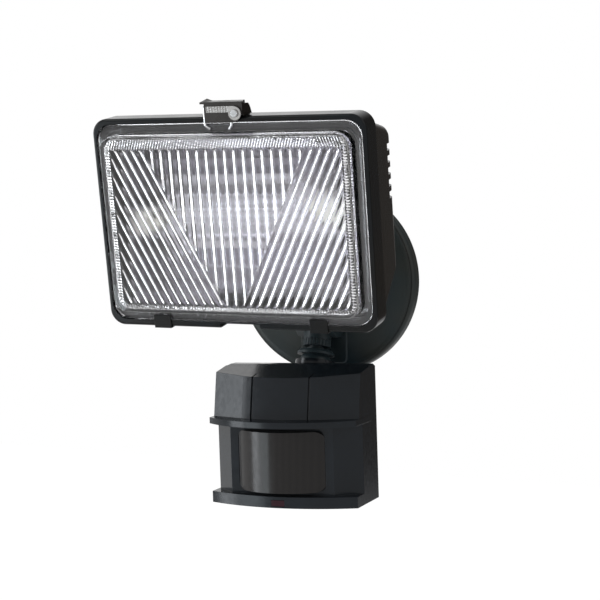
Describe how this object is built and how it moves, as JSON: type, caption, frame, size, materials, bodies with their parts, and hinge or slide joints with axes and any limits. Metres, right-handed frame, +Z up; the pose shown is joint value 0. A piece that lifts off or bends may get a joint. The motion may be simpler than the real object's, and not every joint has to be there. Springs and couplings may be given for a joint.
{
  "type": "motion sensor security light",
  "caption": "Wall-mounted halogen security floodlight with a fluted glass lens, a tilting head on a round canopy and a motion sensor on a ball joint.",
  "frame": {"origin": "centre of the canopy's back face, in the plane of the wall", "axes": "+Y into the wall, +Z up, +X to the right for someone facing the light, which points along -Y"},
  "size_m": [0.1776, 0.1814, 0.2591],
  "materials": {
    "painted_metal": "dark bronze-black satin paint on cast and spun metal",
    "housing_paint": "black semi-gloss paint on cast aluminium",
    "foam": "closed-cell foam and rubber seals",
    "zinc_steel": "zinc-plated steel",
    "dark_screws": "black oxide steel",
    "silicone": "black silicone",
    "clear_glass": "clear pressed glass",
    "reflector_aluminium": "bright anodised sheet",
    "quartz": "clear quartz",
    "ceramic": "unglazed ceramic",
    "black_steel": "black painted sheet steel",
    "latch_steel": "bright spring steel",
    "black_plastic": "black moulded plastic",
    "sensor_plastic": "dark bronze-black gloss plastic",
    "sensor_window": "dark smoky plastic window",
    "red_window": "dark red translucent plastic",
    "board": "bare circuit board",
    "grey_plastic": "light grey plastic controls"
  },
  "bodies": {
    "wall_mount": {"canopy": "painted_metal", "canopy_gasket": "foam", "mounting_strap": "zinc_steel", "centre_screw": "dark_screws", "centre_screw_washer": "foam", "arm_block": "painted_metal", "arm_block_screws": "zinc_steel", "swivel_washer": "foam"},
    "neck": {"lamp_neck": "painted_metal", "swivel_nut": "zinc_steel"},
    "lamp_head": {"lamp_housing": "housing_paint", "tilt_bolt": "dark_screws", "wing_nut": "dark_screws", "lamp_gasket": "silicone", "glass_lens": "clear_glass", "reflector": "reflector_aluminium", "reflector_ends": "reflector_aluminium", "reflector_posts": "zinc_steel", "halogen_lamp": "quartz", "lamp_caps": "ceramic", "lamp_holders": "ceramic", "holder_brackets": "zinc_steel", "lower_tabs": "black_steel", "latch_base": "black_steel", "latch_pin": "latch_steel"},
    "latch": {"latch_lever": "latch_steel", "latch_grip": "latch_steel", "latch_screw": "latch_steel", "latch_bail": "latch_steel"},
    "ball_stem": {"ball_stud": "painted_metal", "ring_nut": "black_plastic"},
    "sensor": {"sensor_rear_shell": "sensor_plastic", "socket_clamp": "sensor_plastic", "clamp_screw": "dark_screws", "clamp_nut": "zinc_steel", "sensor_front_shell": "sensor_plastic", "sensor_lens": "sensor_window", "led_window": "red_window", "circuit_board": "board", "board_posts": "black_plastic", "board_components": "black_plastic", "heat_sensor": "zinc_steel", "photocell": "red_window", "shell_screws": "dark_screws"},
    "range_dial": {"range_dial": "grey_plastic"},
    "time_switch": {"time_switch": "grey_plastic"}
  },
  "joints": [
    {"name": "lamp_swivel", "type": "hinge", "parent": "wall_mount", "child": "neck", "pos_m": [0, -0.027, -0.012], "axis": [0, 0, 1], "range_deg": [-45, 45]},
    {"name": "lamp_tilt", "type": "hinge", "parent": "neck", "child": "lamp_head", "pos_m": [0, -0.072, 0.002], "axis": [1, 0, 0], "range_deg": [-25, 30]},
    {"name": "latch_lift", "type": "hinge", "parent": "lamp_head", "child": "latch", "pos_m": [0.0006, -0.16331, 0.1104], "axis": [-1, 0, 0], "range_deg": [0, 100]},
    {"name": "sensor_swivel", "type": "hinge", "parent": "wall_mount", "child": "ball_stem", "pos_m": [0, -0.0249, -0.038], "axis": [0, 0.2588, 0.9659], "range_deg": [-30, 30]},
    {"name": "sensor_tilt", "type": "hinge", "parent": "ball_stem", "child": "sensor", "pos_m": [0, -0.02952, -0.05524], "axis": [1, 0, 0], "range_deg": [-15, 15]},
    {"name": "dial_turn", "type": "hinge", "parent": "sensor", "child": "range_dial", "pos_m": [-0.01499, -0.07492, -0.14231], "axis": [-0.0347, 0, 0.9994], "range_deg": [-135, 135]},
    {"name": "time_switch_slide", "type": "slide", "parent": "sensor", "child": "time_switch", "axis": [0.9994, 0, 0.0347], "range_m": [0, 0.009]}
  ]
}
